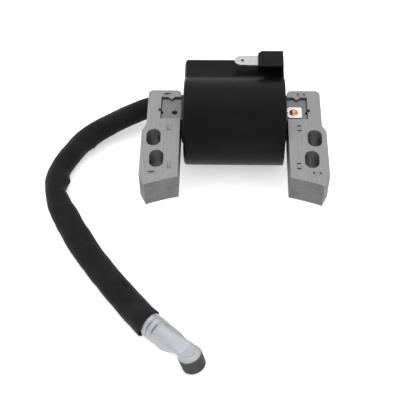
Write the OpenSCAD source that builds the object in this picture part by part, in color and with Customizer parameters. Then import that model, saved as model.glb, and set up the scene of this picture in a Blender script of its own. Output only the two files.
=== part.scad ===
// Flywheel ignition coil lying on its back, with its high-tension lead and spark-plug terminal.
// The bar that carries the windings runs along X. The legs reach towards -Y. Z is up.

/* [Core bar] */
// Width of the core bar
bar_w = 12.3; // [9:0.1:15]
// Thickness of one steel sheet
sheet_t = 0.6; // [0.45:0.05:0.75]
// Sheets in the core bar
bar_sheets = 21; // [17:1:25]
// Depth of a bar end inside its leg
bar_seat = 8.75; // [7:0.05:10]
// Diameter of the hole in each bar end
bar_hole_d = 2.4; // [2:0.1:3]
// Distance from a leg's inner face to the bar hole
bar_hole_in = 2.75; // [2.4:0.05:3.3]
// Offset of the bar hole below the bar's centre line
bar_hole_drop = 1.9; // [1.5:0.1:2.3]

/* [Legs] */
// Sheets in each leg
leg_sheets = 24; // [20:1:29]
// Width of the narrow upper part of a leg
leg_top_w = 15.2; // [14:0.05:17]
// Width of the wide lower part of a leg
leg_foot_w = 17; // [15.5:0.1:20.5]
// Height of a leg's top above the bar's centre line
leg_rise = 11.3; // [9.4:0.1:13.6]
// Reach of a leg's tip below the bar's centre line
leg_drop = 44.3; // [41:0.1:54]
// Corner radius at a leg's top
leg_corner_r = 2.3; // [1.5:0.1:3]
// Height of the shoulder below the bar's centre line
shoulder_drop = 10; // [8.3:0.1:11.4]
// Height of the shoulder's slope
shoulder_h = 3.6; // [2:0.1:5]
// Height of the chamfer beside the tip
tip_h = 5.4; // [4:0.1:6.5]
// Width of the chamfer beside the tip
tip_w = 2.65; // [2:0.05:3.2]
// Radius of the pole faces, which follow the flywheel
pole_r = 105; // [87:1:126]

/* [Mounting slots] */
// Width of a mounting slot
slot_w = 6.2; // [5.2:0.1:6.6]
// End-to-end length of a mounting slot
slot_len = 9.6; // [8:0.1:11]
// Upper slot's distance from the leg's inner face
upper_slot_in = 11.55; // [10.6:0.05:12]
// Upper slot's centre below the bar's centre line
upper_slot_drop = 17.5; // [16.4:0.1:18.2]
// Lower slot's distance from the leg's inner face
lower_slot_in = 9.75; // [8.1:0.05:11.1]
// Lower slot's centre below the bar's centre line
lower_slot_drop = 29.65; // [28.4:0.05:31.4]

/* [Windings] */
// Wall of the primary bobbin's square tube
tube_wall = 1.4; // [1:0.1:2]
// Radial build of the primary winding
primary_build = 2.4; // [1.8:0.1:3]
// Thickness of the tape over the primary winding
wrap_t = 0.25; // [0.2:0.05:0.4]
// Wall of the secondary bobbin
secondary_wall = 1; // [0.8:0.1:1.4]
// Radial build of the secondary winding
secondary_build = 1.6; // [1.2:0.1:2.1]
// Sections of the secondary winding
sections = 7; // [5:1:9]
// Thickness of a rib between two sections
rib_t = 0.8; // [0.6:0.1:1.2]

/* [Housing] */
// Length of the drum
drum_len = 45.6; // [38:0.1:55]
// Wall of the drum
drum_wall = 1.8; // [1.4:0.1:2.2]
// Height of the core's centre line above the drum's axis
core_lift = 1.2; // [0.8:0.1:1.6]
// Reach of the module bay behind the drum
bay_depth = 3.3; // [3.1:0.1:4.4]
// Drop of the bay's top below the top of the drum
bay_step = 4.8; // [4:0.1:5.6]
// Depth of the potting below the open rim
potting_recess = 0.8; // [0.5:0.1:1.2]

/* [Stop terminal] */
// Length of the tower's foot along X
tower_len = 8.9; // [7.4:0.1:10.7]
// Overhang of the tower's head past its foot
head_over = 2.7; // [2:0.1:3.3]
// Width of the tower
tower_w = 10; // [8.3:0.1:12]
// Height of the tower above the bay's top
tower_h = 6; // [5.2:0.1:7.2]
// Width of the blade
blade_w = 6.3; // [5.2:0.05:7.6]
// Thickness of the blade
blade_t = 0.8; // [0.7:0.1:1]
// Length of the blade outside the tower
blade_len = 10.8; // [9:0.1:13]
// Diameter of the blade's hole
blade_hole_d = 1.4; // [1.1:0.1:1.7]

/* [Lead] */
// Diameter of the lead's insulation
lead_d = 7; // [6:0.1:7]
// Diameter of the lead's copper core
core_d = 1.36; // [1.1:0.02:1.36]
// Wall of the woven sleeve
sleeve_wall = 0.45; // [0.3:0.05:0.45]

/* [Spark-plug terminal] */
// Largest radius of the crimped barrel
barrel_r = 5.3; // [4.6:0.05:5.5]
// Diameter of the insulating ring
ring_d = 10; // [9.6:0.1:10.2]
// Height of the insulating ring
ring_h = 6.9; // [5.8:0.1:8.3]
// Bore of the spring clip, which grips the plug's nut
clip_d = 6.4; // [6:0.1:6.6]
// Sheet thickness of the spring clip
clip_t = 0.4; // [0.3:0.05:0.5]
// Lean of the cap away from upright
cap_tilt = 20; // [15:1:25]

/* [Hidden] */
$fn = 96;
fit = 0.05;
eps = 0.01;

// Core, outwards from the bar
bar_t = bar_sheets * sheet_t;
leg_t = leg_sheets * sheet_t;
tube_slip = 0.15;
tube_y = bar_w / 2 + tube_slip + tube_wall;
tube_z = bar_t / 2 + tube_slip + tube_wall;
leg_gap = 1.45;
leg_in = drum_len / 2 + leg_gap;
leg_out = leg_in + leg_foot_w;
bar_end = leg_in + bar_seat;
end_gap = 0.3;
top_gap = 0.9;
bump_h = 1.6;
bump_x = leg_in + bar_seat / 2;
bump_half = 1.7;
stake_drop = 1.9;
bar_hole_x = leg_in + bar_hole_in;

// Windings
coil_corner_r = 2.6;
primary_y = tube_y + primary_build;
primary_z = tube_z + primary_build;
primary_r = norm([primary_y - coil_corner_r, primary_z - coil_corner_r]) + coil_corner_r;
secondary_in_r = primary_r + wrap_t + 0.3;
secondary_r = secondary_in_r + secondary_wall + secondary_build;
rib_r = secondary_r + 0.6;
void_r = rib_r + 0.1;
wire_room = 3;
void_x = drum_len / 2 - wire_room;
secondary_x = void_x - 1.55;
flange_t = 1.2;
primary_x = secondary_x - flange_t - fit;

// Housing
drum_r = rib_r + 0.42 + core_lift + drum_wall;
drum_x = drum_len / 2;
bay_back = drum_r + bay_depth;
bay_top = drum_r - bay_step;
cavity_in = -drum_x + drum_wall;
potting_x = drum_x - potting_recess;

// The drum's axis in the row's frame, whose origin is at the centre of the base
axis_y = (leg_drop - bay_back) / 2;
axis_z = drum_r;

// Module bay behind the windings, at the bottom
room_y = drum_r - 4;
room_z = -drum_r + 8.4;
room_back = bay_back - drum_wall - 0.2;
room_floor = -drum_r + drum_wall + 0.2;
room_left = -9;
room_right = void_x + 0.6;
board_t = 1;
board_top = room_floor + board_t + fit;
stop_wire_x = room_right - 1.8;
stop_wire_y = drum_r - 1;
stop_wire_r = 0.4;
switch_wire_x = void_x - 0.4;
switch_wire_r = 0.3;

// Stop terminal
tower_right = drum_x - 0.4;
tower_left = tower_right - tower_len;
head_left = tower_left - head_over;
tower_top = bay_top + tower_h;
head_h = 3.6;
blade_z = tower_top - 1.5;
blade_y = bay_back - tower_w / 2 - 0.1;
blade_back = stop_wire_x + 0.6;

// Lead: where it leaves the housing, and how it is sealed there
lead_y = 28.4;
lead_z = 8.6;
exit_y = lead_y - axis_y;
exit_z = lead_z - axis_z;
lead_in = -drum_x + 3.8;
seal_r = 4.5;
seal_flange_r = 5.4;
seal_out = 1.6;
pin_r = 0.7;
pin_end = lead_in + 5.6;
pitch = (2 * secondary_x - rib_t) / sections;

// Spark-plug terminal, in a frame with X along the lead and Z up
terminal_at = [-34, -88.8, 5.6];
terminal_yaw = -41;
barrel_back = -2;
barrel_end = 10.6;
bore_end = 8.6;
groove_at = [1.6, 4.6];
cap_rise = ring_h * cos(cap_tilt) + ring_d / 2 * sin(cap_tilt) + 0.3 - terminal_at[2];
cap_at = [22.25, -0.3, cap_rise];
cap_r = ring_d / 2 - 0.2;
dome_h = 1.8;
neck_at = [16.6, 0, 3];
neck_w = 7.4;
neck_t = 2.6;

// Lead's route over the table: x, y, z, then the sleeve's width and height there
lead_route = [
  [-19, lead_y, lead_z, 10, 10],
  [-26.5, lead_y, lead_z, 10, 10],
  [-31, 29, 8.6, 10, 10],
  [-35, 29.6, 8.6, 10, 10],
  [-39, 29.6, 8.6, 10, 10],
  [-43, 28.4, 8.4, 10.2, 10],
  [-48.4, 25.7, 8, 10, 10],
  [-55.2, 21.8, 7.5, 10, 10],
  [-61.3, 18, 6.9, 10.1, 10],
  [-67.5, 13.5, 6.3, 10.6, 10],
  [-72.8, 7.7, 5.7, 10.4, 10],
  [-76.8, 1.2, 5.3, 10.2, 10],
  [-79.9, -5.3, 5.1, 10.2, 9.8],
  [-81.7, -12.6, 4.8, 10.8, 9.2],
  [-81.2, -20.1, 4.6, 10, 8.9],
  [-78.6, -27.6, 4.5, 11.2, 8.7],
  [-75.2, -33.9, 4.4, 11.9, 8.5],
  [-71.6, -40.4, 4.3, 12, 8.4],
  [-67.3, -47.2, 4.2, 12.2, 8.3],
  [-63.3, -53.3, 4.2, 12.2, 8.3],
  [-58.8, -59.5, 4.2, 11.8, 8.3],
  [-54.3, -65.3, 4.2, 11.9, 8.3],
  [-49.2, -71.6, 4.3, 12.3, 8.5],
  [-44.4, -77.3, 4.5, 12.5, 8.8],
  [-40.2, -82.4, 4.9, 12.5, 9.7]
];

function terminal_point(u, w, h) = concat(
  terminal_at + u * [cos(terminal_yaw), sin(terminal_yaw), 0],
  [w, h]
);

insulation_route = concat(lead_route, [terminal_point(-4, 0, 0), terminal_point(7.5, 0, 0)]);
conductor_route = concat(lead_route, [terminal_point(-4, 0, 0), terminal_point(1, 0, 0)]);
sleeve_route = concat(
  [for (i = [1:len(lead_route) - 1]) lead_route[i]],
  [terminal_point(-4, 12.5, 11), terminal_point(0.2, 12.4, 11.1)]
);

// ---------- helpers ----------

// From the drum's axis to the row's frame
module on_axis() {
  translate([0, axis_y, axis_z]) children();
}

// From the core's centre line to the drum's axis
module lifted() {
  translate([0, 0, core_lift]) children();
}

// From the core's centre line to the row's frame
module on_core() {
  on_axis() lifted() children();
}

// A flat outline given in Y and Z, drawn from x0 to x1
module along_x(x0, x1) {
  translate([x0, 0, 0]) rotate([90, 0, 90]) linear_extrude(x1 - x0) children();
}

module rod_x(x0, x1, r, y = 0, z = 0) {
  translate([x0, y, z]) rotate([0, 90, 0]) cylinder(h = x1 - x0, r = r);
}

module block(low, high) {
  translate(low) cube(high - low);
}

module half_square(y, z) {
  square([2 * y, 2 * z], center = true);
}

module rounded_square(y, z, r) {
  half_square(y - r, z);
  half_square(y, z - r);
  for (i = [-1, 1], j = [-1, 1]) translate([i * (y - r), j * (z - r)]) circle(r);
}

module slot_outline(w, length) {
  square([w, length - w], center = true);
  for (side = [-1, 1]) translate([0, side * (length - w) / 2]) circle(d = w);
}

// ---------- laminated core ----------

module leg_blank() {
  polygon([
    [leg_in, -leg_drop - tip_h],
    [leg_out - 2 * tip_w, -leg_drop - tip_h],
    [leg_out, -leg_drop + tip_h],
    [leg_out, -shoulder_drop - shoulder_h],
    [leg_in + leg_top_w, -shoulder_drop],
    [leg_in + leg_top_w, leg_rise - leg_corner_r],
    [leg_in, leg_rise - leg_corner_r]
  ]);
  translate([leg_in + leg_corner_r, 0]) square([leg_top_w - 2 * leg_corner_r, leg_rise]);
  for (x = [leg_in + leg_corner_r, leg_in + leg_top_w - leg_corner_r]) {
    translate([x, leg_rise - leg_corner_r]) circle(leg_corner_r);
  }
}

// The leg's pointed tooth over the bar, and wider by grow, the bar's notch for it
module bump(grow) {
  translate([bump_x, bar_w / 2 + top_gap + eps])
    polygon([[-bump_half - grow, 0], [0, -bump_h - grow], [bump_half + grow, 0]]);
}

module leg_outline() {
  tip_x = leg_out - tip_w;
  flywheel_y = -leg_drop - sqrt(pole_r * pole_r - tip_x * tip_x);
  difference() {
    leg_blank();
    translate([0, flywheel_y]) circle(pole_r, $fn = 720);
    translate([leg_in + upper_slot_in, -upper_slot_drop]) slot_outline(slot_w, slot_len);
    translate([leg_in + lower_slot_in, -lower_slot_drop]) slot_outline(slot_w, slot_len);
    difference() {
      translate([leg_in - 1, -bar_w / 2 - fit]) square([bar_seat + end_gap + 1, bar_w + fit + top_gap]);
      bump(0);
    }
    translate([bar_end + 0.5, 0.8 - stake_drop]) circle(r = 0.95);
  }
}

module dimple(x, y, turn) {
  translate([x, y, leg_t / 2]) rotate([0, 0, turn]) cube([3.6, 1.6, 0.8], center = true);
}

// The right leg; the left one is its mirror image
module leg_stack() {
  difference() {
    translate([0, 0, -leg_t / 2]) linear_extrude(leg_t) leg_outline();
    dimple(leg_in + 6.55, (leg_rise + bar_w / 2) / 2, 0);
    dimple(leg_in + 4.85, -upper_slot_drop + 5.8, 90);
    dimple(leg_in + 3.95, -lower_slot_drop - 3.8, 90);
    dimple(leg_in + 11.6, -lower_slot_drop - 7.9, 0);
  }
}

module leg_stack_right() {
  color("silver") on_core() leg_stack();
}

module leg_stack_left() {
  color("silver") on_core() mirror([1, 0, 0]) leg_stack();
}

module core_bar_stack() {
  color("darkgray") on_core() difference() {
    block([-bar_end, -bar_w / 2, -bar_t / 2], [bar_end, bar_w / 2, bar_t / 2]);
    for (side = [-1, 1]) {
      translate([side * bar_hole_x, -bar_hole_drop, -bar_t]) cylinder(h = 2 * bar_t, d = bar_hole_d);
      translate([side * bar_end, -stake_drop, 0]) cube([1.4, 1.4, 2 * bar_t], center = true);
    }
    for (side = [0, 1]) mirror([side, 0, 0]) translate([0, 0, -bar_t]) linear_extrude(2 * bar_t) bump(0.1);
  }
}

// ---------- windings ----------

module primary_bobbin() {
  groove_y = bar_hole_drop;
  color("dimgray") on_core() difference() {
    union() {
      along_x(-leg_in + tube_slip, leg_in - tube_slip) half_square(tube_y, tube_z);
      for (side = [-1, 1]) {
        along_x(side * (primary_x + flange_t / 2) - flange_t / 2, side * (primary_x + flange_t / 2) + flange_t / 2)
          rounded_square(primary_y, primary_z, coil_corner_r);
      }
    }
    along_x(-leg_in, leg_in) half_square(bar_w / 2 + tube_slip, bar_t / 2 + tube_slip);
    // groove for the ground wire, and a notch for the tail of the ground tab
    block([secondary_x + 0.3, -groove_y - 0.5, bar_t / 2 + 0.55], [leg_in, -groove_y + 0.5, tube_z + 1]);
    block([drum_x + 0.7, -groove_y - 2.6, 0], [leg_in, -groove_y + 2.6, bar_t / 2 + 0.7]);
  }
}

module primary_winding() {
  color("peru") on_core() along_x(-primary_x + fit, primary_x - fit) difference() {
    rounded_square(primary_y, primary_z, coil_corner_r);
    half_square(tube_y + fit, tube_z + fit);
  }
}

module primary_wrap() {
  color("khaki") on_core() along_x(-primary_x + fit, primary_x - fit) difference() {
    rounded_square(primary_y + wrap_t, primary_z + wrap_t, coil_corner_r + wrap_t);
    rounded_square(primary_y + fit, primary_z + fit, coil_corner_r + fit);
  }
}

module rib(x) {
  rod_x(x, x + rib_t, rib_r);
}

module secondary_bobbin() {
  notch = 1.6;
  color("ivory") on_core() difference() {
    union() {
      rod_x(-secondary_x, secondary_x, secondary_in_r + secondary_wall);
      for (i = [0:sections]) rib(-secondary_x + i * pitch);
    }
    rod_x(-secondary_x - 1, secondary_x + 1, secondary_in_r);
    // the wire crosses from one section to the next through a notch at the top
    block(
      [-secondary_x + rib_t, -notch / 2, secondary_in_r + secondary_wall],
      [secondary_x - rib_t, notch / 2, rib_r + 1]
    );
  }
}

module secondary_winding() {
  crossing = 0.6;
  layer = secondary_in_r + secondary_wall + fit;
  color("chocolate") on_core() union() {
    for (i = [0:sections - 1]) {
      x0 = -secondary_x + i * pitch + rib_t + fit;
      difference() {
        rod_x(x0, x0 + pitch - rib_t - 2 * fit, secondary_r);
        rod_x(x0 - 1, x0 + pitch, layer);
      }
    }
    block(
      [-secondary_x + rib_t + 1, -crossing, layer + 0.2],
      [secondary_x - rib_t - 1, crossing, secondary_r - 0.4]
    );
  }
}

// ---------- housing and potting ----------

module drum_outline(inset) {
  r = drum_r - inset;
  circle(r);
  translate([0, -r]) square([bay_back - inset, r + bay_top - inset]);
}

module tower() {
  difference() {
    union() {
      block([tower_left, bay_back - tower_w, bay_top - 1], [tower_right, bay_back, tower_top]);
      block([head_left, bay_back - tower_w, tower_top - head_h], [tower_right, bay_back, tower_top]);
    }
    // chamfer on the head's back corner
    translate([head_left, bay_back, tower_top]) rotate([0, 0, 45]) cube([2.4, 2.4, 2 * head_h + 1], center = true);
  }
}

module blade_room(gap) {
  block(
    [head_left - 1, blade_y - blade_w / 2 - gap, blade_z - blade_t / 2 - gap],
    [blade_back + gap, blade_y + blade_w / 2 + gap, blade_z + blade_t / 2 + gap]
  );
  block(
    [blade_back - blade_t - gap, blade_y - blade_w / 4 - gap, bay_top - 3 - gap],
    [blade_back + gap, blade_y + blade_w / 4 + gap, blade_z + blade_t / 2 + gap]
  );
}

module coil_housing() {
  color([0.16, 0.16, 0.17]) on_axis() difference() {
    union() {
      along_x(-drum_x, drum_x) drum_outline(0);
      tower();
    }
    along_x(cavity_in, drum_x + 1) drum_outline(drum_wall);
    lifted() along_x(-drum_x - 1, 0) half_square(tube_y + fit, tube_z + fit);
    rod_x(-drum_x - 1, 0, seal_r + fit, exit_y, exit_z);
    blade_room(fit);
  }
}

// Wires run in channels of the potting; each is drawn once for itself and once, wider, as its channel
module stop_wire_run(grow) {
  translate([stop_wire_x, stop_wire_y, board_top + fit])
    cylinder(h = bay_top - 3 - 2 * fit - board_top - fit + grow, r = stop_wire_r + grow);
}

module switch_wire_run(grow) {
  from = [switch_wire_x, tube_y + 1.4, core_lift - tube_z + 1.2];
  to = [switch_wire_x, room_y + 0.9, board_top + 0.5];
  run = to - from;
  translate(from) rotate([-acos(run[2] / norm(run)), 0, 0]) cylinder(h = norm(run), r = switch_wire_r + grow);
}

module ground_wire_run(grow) {
  lifted() rod_x(void_x - 1, leg_in + 0.3, 0.3 + grow, -bar_hole_drop, bar_t / 2 + 0.95);
}

module output_wire_run(grow) {
  reach = norm([exit_y, exit_z - core_lift]) - pin_r - fit;
  start = secondary_r + fit;
  turn = atan2(exit_z - core_lift, exit_y);
  x = -secondary_x + rib_t + pitch / 2 - rib_t / 2;
  translate([x, 0, core_lift]) rotate([turn, 0, 0]) translate([0, start, 0]) rotate([-90, 0, 0])
    cylinder(h = reach - start, r = 0.25 + grow);
}

module potting_fill() {
  color([0.1, 0.1, 0.1]) on_axis() difference() {
    along_x(cavity_in + fit, potting_x) drum_outline(drum_wall + fit);
    lifted() rod_x(-void_x, void_x, void_r);
    lifted() along_x(-drum_x, drum_x) half_square(tube_y + fit, tube_z + fit);
    block([room_left, room_y, room_floor], [room_right, room_back, room_z]);
    rod_x(-drum_x, lead_in + fit, lead_d / 2 + 0.1, exit_y, exit_z);
    rod_x(lead_in, pin_end + fit, pin_r + fit, exit_y, exit_z);
    blade_room(fit);
    stop_wire_run(fit);
    switch_wire_run(fit);
    ground_wire_run(fit);
    output_wire_run(fit);
  }
}

// ---------- trigger module in the bay ----------

module module_board() {
  color("darkgreen") on_axis() block(
    [room_left + 0.5, room_y + 0.1, room_floor + fit],
    [room_right - fit, room_back - fit, room_floor + fit + board_t]
  );
}

module module_transistor() {
  color([0.15, 0.15, 0.16]) on_axis() block(
    [stop_wire_x - 8.4, room_y + 0.6, board_top + fit],
    [stop_wire_x - 1.4, room_back - 0.6, board_top + 3.1]
  );
}

module trigger_coil() {
  y = (room_y + room_back) / 2;
  color("peru") on_axis() difference() {
    rod_x(room_left + 2, room_left + 8, 2.2, y, board_top + 2.3);
    rod_x(room_left, room_left + 10, 0.7 + fit, y, board_top + 2.3);
  }
}

module trigger_core() {
  y = (room_y + room_back) / 2;
  color("gray") on_axis() rod_x(room_left + 1.2, room_left + 8.8, 0.7, y, board_top + 2.3);
}

module resistor(y) {
  color("tan") on_axis() rod_x(room_left + 10.2, room_left + 15, 0.9, y, board_top + 1);
}

module resistor_one() {
  resistor(room_y + 1.4);
}

module resistor_two() {
  resistor(room_back - 1.4);
}

// ---------- terminals and wires of the body ----------

module stop_terminal() {
  tip_r = blade_w / 2;
  tip = head_left - blade_len;
  color("lightgray") on_axis() difference() {
    union() {
      translate([tip + tip_r, blade_y, blade_z - blade_t / 2]) cylinder(h = blade_t, r = tip_r);
      block(
        [tip + tip_r, blade_y - blade_w / 2, blade_z - blade_t / 2],
        [blade_back, blade_y + blade_w / 2, blade_z + blade_t / 2]
      );
      block(
        [blade_back - blade_t, blade_y - blade_w / 4, bay_top - 3],
        [blade_back, blade_y + blade_w / 4, blade_z]
      );
    }
    translate([tip + 3.7, blade_y, blade_z - 1]) cylinder(h = 2, d = blade_hole_d);
  }
}

module stop_wire() {
  color("peru") on_axis() stop_wire_run(0);
}

module switch_wire() {
  color("peru") on_axis() switch_wire_run(0);
}

module ground_wire() {
  color("peru") on_axis() ground_wire_run(0);
}

module output_wire() {
  color("peru") on_axis() output_wire_run(0);
}

module ground_tab() {
  tab_t = 0.5;
  corner = 1.1;
  x0 = drum_x + 1.1;
  x1 = leg_in + 6.65;
  color("gainsboro") on_core() difference() {
    translate([0, -bar_hole_drop, bar_t / 2]) linear_extrude(tab_t) {
      translate([x0, -2.4]) square([leg_in + 0.6 - x0, 4.8]);
      translate([(leg_in + x1) / 2, 0]) rounded_square((x1 - leg_in) / 2 - fit, 3.25, corner);
    }
    translate([bar_hole_x, -bar_hole_drop, 0]) cylinder(h = leg_t, d = bar_hole_d);
  }
}

module ground_rivet() {
  rivet_r = 2;
  rivet_h = 1;
  ball_r = (rivet_r * rivet_r + rivet_h * rivet_h) / (2 * rivet_h);
  seat = bar_t / 2 + 0.5;
  color("sienna") on_core() translate([bar_hole_x, -bar_hole_drop, 0]) {
    translate([0, 0, -bar_t / 2 - 0.1]) cylinder(h = seat + bar_t / 2 + 0.1, r = bar_hole_d / 2 - fit);
    translate([0, 0, -bar_t / 2 - 0.25]) cylinder(h = 0.25, r = 1.7);
    intersection() {
      translate([0, 0, seat + rivet_h - ball_r]) sphere(ball_r);
      translate([0, 0, seat]) cylinder(h = rivet_h + 1, r = rivet_r + 1);
    }
  }
}

module lead_seal() {
  color([0.2, 0.2, 0.2]) on_axis() difference() {
    union() {
      rod_x(-drum_x, cavity_in, seal_r, exit_y, exit_z);
      rod_x(-drum_x - seal_out, -drum_x, seal_flange_r, exit_y, exit_z);
    }
    rod_x(-drum_x - 2 * seal_out, cavity_in + 1, lead_d / 2 + fit, exit_y, exit_z);
  }
}

module ht_contact_pin() {
  color("goldenrod") on_axis() rod_x(lead_in + fit, pin_end, pin_r, exit_y, exit_z);
}

// ---------- lead ----------

function unit(v) = v / norm(v);
function place(p) = [p[0], p[1], p[2]];
function heading(route, i) = unit(
  place(route[min(i + 1, len(route) - 1)]) - place(route[max(i - 1, 0)])
);
function sideways(t) = unit(cross([0, 0, 1], t));

// One ring of an oval tube at the route's point i, square to the route
function ring(route, i, a, b, sides) =
  let (t = heading(route, i), s = sideways(t), u = cross(t, s))
  [
    for (k = [0:sides - 1])
      let (turn = (k + 0.5) * 360 / sides)
      place(route[i]) + a * cos(turn) * s + b * sin(turn) * u
  ];

// Triangles between ring p and ring q, which start at those point numbers
function band(p, q, sides) = [
  for (k = [0:sides - 1])
    let (n = (k + 1) % sides)
    for (f = [[p + k, q + k, q + n], [p + k, q + n, p + n]]) f
];

function swept(route, half_w, half_h, sides) = [
  for (i = [0:len(route) - 1]) for (p = ring(route, i, half_w[i], half_h[i], sides)) p
];

function fan(start, sides) = [for (k = [1:sides - 2]) [start, start + k, start + k + 1]];

function turned(faces) = [for (f = faces) [f[2], f[1], f[0]]];

module solid_tube(route, r, sides) {
  last = len(route) - 1;
  radii = [for (p = route) r];
  faces = concat(
    fan(0, sides),
    [for (i = [0:last - 1]) for (f = band(i * sides, (i + 1) * sides, sides)) f],
    turned(fan(last * sides, sides))
  );
  polyhedron(points = swept(route, radii, radii, sides), faces = turned(faces));
}

module hollow_tube(route, out_w, out_h, in_w, in_h, sides) {
  last = len(route) - 1;
  inner = len(route) * sides;
  faces = concat(
    [for (i = [0:last - 1]) for (f = band(i * sides, (i + 1) * sides, sides)) f],
    turned([
      for (i = [0:last - 1])
        for (f = band(inner + i * sides, inner + (i + 1) * sides, sides)) f
    ]),
    band(inner, 0, sides),
    turned(band(inner + last * sides, last * sides, sides))
  );
  polyhedron(
    points = concat(swept(route, out_w, out_h, sides), swept(route, in_w, in_h, sides)),
    faces = turned(faces)
  );
}

module lead_conductor() {
  color("peru") solid_tube(conductor_route, core_d / 2, 8);
}

module lead_insulation() {
  outer = [for (p = insulation_route) lead_d / 2];
  bore = [for (p = insulation_route) 0.76];
  color([0.14, 0.14, 0.14]) hollow_tube(insulation_route, outer, outer, bore, bore, 12);
}

module lead_sleeve() {
  half_w = [for (p = sleeve_route) p[3] / 2];
  half_h = [for (p = sleeve_route) p[4] / 2];
  color([0.18, 0.18, 0.18]) hollow_tube(
    sleeve_route,
    half_w,
    half_h,
    [for (w = half_w) w - sleeve_wall],
    [for (h = half_h) h - sleeve_wall],
    12
  );
}

// ---------- spark-plug terminal ----------

module at_terminal() {
  translate(terminal_at) rotate([0, 0, terminal_yaw]) children();
}

module at_cap() {
  at_terminal() translate(cap_at) rotate([0, -cap_tilt, 0]) children();
}

module barrel() {
  wall_in = lead_d / 2 + fit;
  groove_r = barrel_r - 0.6;
  rotate([0, 90, 0]) rotate_extrude() polygon([
    [wall_in, barrel_back],
    [barrel_r - 0.5, barrel_back],
    [barrel_r - 0.5, 0.4],
    [barrel_r - 0.1, 0.9],
    [groove_r, groove_at[0]],
    [barrel_r - 0.1, groove_at[0] + 0.7],
    [barrel_r - 0.1, groove_at[1] - 0.8],
    [groove_r, groove_at[1]],
    [barrel_r, groove_at[1] + 0.8],
    [barrel_r, barrel_end],
    [0, barrel_end],
    [0, bore_end],
    [wall_in, bore_end]
  ]);
}

module neck() {
  hull() {
    rod_x(barrel_end - 0.2, barrel_end, barrel_r - fit, $fn = 32);
    translate(neck_at) cube([0.4, neck_w, neck_t], center = true);
  }
  hull() {
    translate(neck_at) cube([0.4, neck_w, neck_t], center = true);
    translate(cap_at) rotate([0, -cap_tilt, 0]) cylinder(h = 1, r = cap_r - 0.3, $fn = 32);
  }
}

module dome() {
  ball_r = (cap_r * cap_r + dome_h * dome_h) / (2 * dome_h);
  intersection() {
    translate([0, 0, dome_h - ball_r]) sphere(ball_r);
    cylinder(h = dome_h + 1, r = cap_r + 1);
  }
}

module terminal_shell() {
  color("lightsteelblue") difference() {
    union() {
      at_terminal() barrel();
      at_terminal() neck();
      at_cap() dome();
    }
    at_terminal() rod_x(bore_end - 1, bore_end + 1.5, 0.65 + eps);
  }
}

module terminal_pin() {
  color("gray") at_terminal() rod_x(1.1, bore_end + 1.4, 0.65);
}

module terminal_clip() {
  color("silver") at_cap() difference() {
    translate([0, 0, -ring_h + 0.5]) cylinder(h = ring_h - 0.5 - fit, d = clip_d + 2 * clip_t);
    translate([0, 0, -ring_h]) cylinder(h = ring_h, d = clip_d);
    translate([clip_d / 2, 0, -ring_h / 2]) cube([2, 1, ring_h + 1], center = true);
  }
}

module insulator_ring() {
  color([0.3, 0.3, 0.31]) at_cap() difference() {
    translate([0, 0, -ring_h]) cylinder(h = ring_h - fit, d = ring_d);
    translate([0, 0, -ring_h - 1]) cylinder(h = ring_h + 2, d = clip_d + 2 * clip_t + 2 * fit);
  }
}

leg_stack_left();
leg_stack_right();
core_bar_stack();
coil_housing();
potting_fill();
primary_bobbin();
primary_winding();
primary_wrap();
secondary_bobbin();
secondary_winding();
module_board();
module_transistor();
trigger_coil();
trigger_core();
resistor_one();
resistor_two();
stop_terminal();
stop_wire();
switch_wire();
ground_wire();
output_wire();
ground_tab();
ground_rivet();
lead_seal();
ht_contact_pin();
lead_conductor();
lead_insulation();
lead_sleeve();
terminal_shell();
terminal_pin();
terminal_clip();
insulator_ring();
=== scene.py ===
"""Looks of a small-engine ignition coil: laminated core, potted drum, sleeved lead and plug terminal.

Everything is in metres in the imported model's frame. Sizes in the text are millimetres times MM.
"""

import math
import random

import bmesh
import bpy
from mathutils import Matrix, Vector, noise


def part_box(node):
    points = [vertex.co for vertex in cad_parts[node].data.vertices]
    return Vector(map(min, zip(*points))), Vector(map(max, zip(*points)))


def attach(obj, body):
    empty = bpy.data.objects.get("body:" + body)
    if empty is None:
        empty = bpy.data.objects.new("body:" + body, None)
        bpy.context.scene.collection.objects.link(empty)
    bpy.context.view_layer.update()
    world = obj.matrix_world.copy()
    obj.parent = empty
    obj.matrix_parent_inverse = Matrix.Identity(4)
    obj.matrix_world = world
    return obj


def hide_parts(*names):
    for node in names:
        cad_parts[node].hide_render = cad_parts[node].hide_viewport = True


MM = 0.001
WELD = 0.001 * MM
BODY = "root"

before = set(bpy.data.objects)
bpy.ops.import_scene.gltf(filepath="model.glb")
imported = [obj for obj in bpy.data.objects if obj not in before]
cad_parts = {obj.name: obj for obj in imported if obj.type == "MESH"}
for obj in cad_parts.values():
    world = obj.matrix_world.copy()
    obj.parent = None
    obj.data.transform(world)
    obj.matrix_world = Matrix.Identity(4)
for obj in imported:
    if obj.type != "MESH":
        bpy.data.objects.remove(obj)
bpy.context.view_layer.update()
chance = random.Random(7)


# ---------- camera ----------


def make_camera():
    lens = bpy.data.cameras.new("camera")
    lens.sensor_width = 36
    lens.lens = 81
    lens.clip_start = 0.01
    camera = bpy.data.objects.new("camera", lens)
    azimuth, elevation, roll = math.radians(2.42), math.radians(53.11), math.radians(-1.41)
    back = Vector(
        (
            math.sin(azimuth) * math.cos(elevation),
            -math.cos(azimuth) * math.cos(elevation),
            math.sin(elevation),
        )
    )
    camera.rotation_mode = "QUATERNION"
    turn = back.to_track_quat("Z", "Y").to_matrix() @ Matrix.Rotation(roll, 3, "Z")
    camera.rotation_quaternion = turn.to_quaternion()
    camera.location = Vector((-4.72, -269.41, 332.06)) * MM
    bpy.context.scene.collection.objects.link(camera)
    bpy.context.scene.camera = camera


# ---------- the lead's route ----------

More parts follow.
